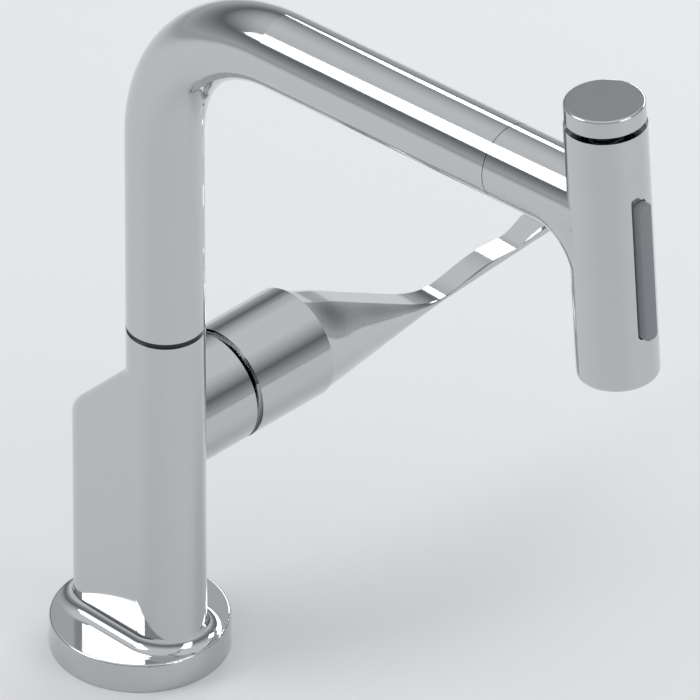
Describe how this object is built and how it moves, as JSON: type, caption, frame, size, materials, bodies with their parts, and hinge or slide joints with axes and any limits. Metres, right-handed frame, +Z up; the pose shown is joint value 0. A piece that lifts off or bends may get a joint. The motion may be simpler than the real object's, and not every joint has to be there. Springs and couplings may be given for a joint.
{
  "type": "pull-out kitchen mixer tap",
  "caption": "Single-lever kitchen mixer tap: round base, swivelling bent spout, pull-out spray head with push button and rocker, side lever, shank below.",
  "frame": {"origin": "centre of the base on the worktop, on the tap hole's axis", "axes": "+X along the spout at rest, +Y along the lever, +Z up from the worktop"},
  "size_m": [0.2816, 0.234, 0.3916],
  "materials": {
    "chrome": "polished chrome plate on cast brass",
    "switch_plastic": "satin moulded plastic",
    "black_plastic": "moulded black acetal",
    "grey_plastic": "moulded acetal",
    "brass": "turned brass",
    "steel": "stainless steel",
    "ceramic": "ground alumina",
    "rubber": "moulded rubber",
    "silicone": "soft moulded silicone"
  },
  "bodies": {
    "base": {"base_body": "chrome", "base_seal": "rubber", "threaded_shank": "brass", "clamp_gasket": "rubber", "clamp_washer": "steel", "fixing_nut": "brass", "cartridge_body": "grey_plastic", "cartridge_seals": "rubber", "ceramic_fixed_disc": "ceramic", "cartridge_nut": "brass", "swivel_bushes": "grey_plastic", "swivel_ring": "black_plastic", "stop_screw": "steel"},
    "mixer_turn": {"cartridge_carrier": "grey_plastic", "stem_pin": "steel", "dome_cap": "chrome"},
    "disc_slide": {"ceramic_moving_disc": "ceramic"},
    "lever": {"cartridge_stem": "steel", "lever_handle": "chrome", "handle_screw": "steel", "handle_plug": "black_plastic"},
    "spout": {"spout_tube": "chrome", "spout_spigot": "brass", "spout_seals": "rubber", "spray_holder": "grey_plastic"},
    "spray_head": {"spray_housing": "chrome", "docking_spigot": "grey_plastic", "check_valve": "grey_plastic", "inlet_strainer": "grey_plastic", "spray_core": "grey_plastic", "rocker_pin": "steel", "aerator": "grey_plastic", "nozzle_mat": "silicone", "button_spring": "steel"},
    "button": {"pause_button": "chrome", "button_stem": "grey_plastic"},
    "rocker": {"rocker_switch": "switch_plastic"},
    "diverter": {"diverter_plunger": "grey_plastic"}
  },
  "joints": [
    {"name": "temperature_turn", "type": "hinge", "parent": "base", "child": "mixer_turn", "pos_m": [0, 0.025, 0.09], "axis": [0, 1, 0], "range_deg": [-50, 50]},
    {"name": "flow_tilt", "type": "hinge", "parent": "mixer_turn", "child": "lever", "pos_m": [0, 0.025, 0.09], "axis": [1, 0, 0], "range_deg": [0, 22]},
    {"name": "disc_shift", "type": "slide", "parent": "mixer_turn", "child": "disc_slide", "axis": [0, 0, -1], "range_m": [0, 0.00192]},
    {"name": "spout_swivel", "type": "hinge", "parent": "base", "child": "spout", "pos_m": [0.0135, 0, 0.142], "axis": [0, 0, 1], "range_deg": [-75, 75]},
    {"name": "spray_pull", "type": "slide", "parent": "spout", "child": "spray_head", "axis": [0.9975, 0, 0.0705], "range_m": [0, 0.5]},
    {"name": "pause_press", "type": "slide", "parent": "spray_head", "child": "button", "axis": [0.0705, 0, -0.9975], "range_m": [0, 0.0018], "stiffness_N_per_m": 1200, "springref_m": -0.002, "deforming": ["button_spring"]},
    {"name": "rocker_tip", "type": "hinge", "parent": "spray_head", "child": "rocker", "pos_m": [0.23861, 0, 0.27955], "axis": [0, 1, 0], "range_deg": [-3, 3]},
    {"name": "diverter_shift", "type": "slide", "parent": "spray_head", "child": "diverter", "axis": [0.9975, 0, 0.0705], "range_m": [-0.00106, 0.00106]}
  ],
  "couplings": [
    {"joint": "disc_shift", "follows": "flow_tilt", "m_per_rad": 0.004976},
    {"joint": "diverter_shift", "follows": "rocker_tip", "m_per_rad": -0.02}
  ]
}
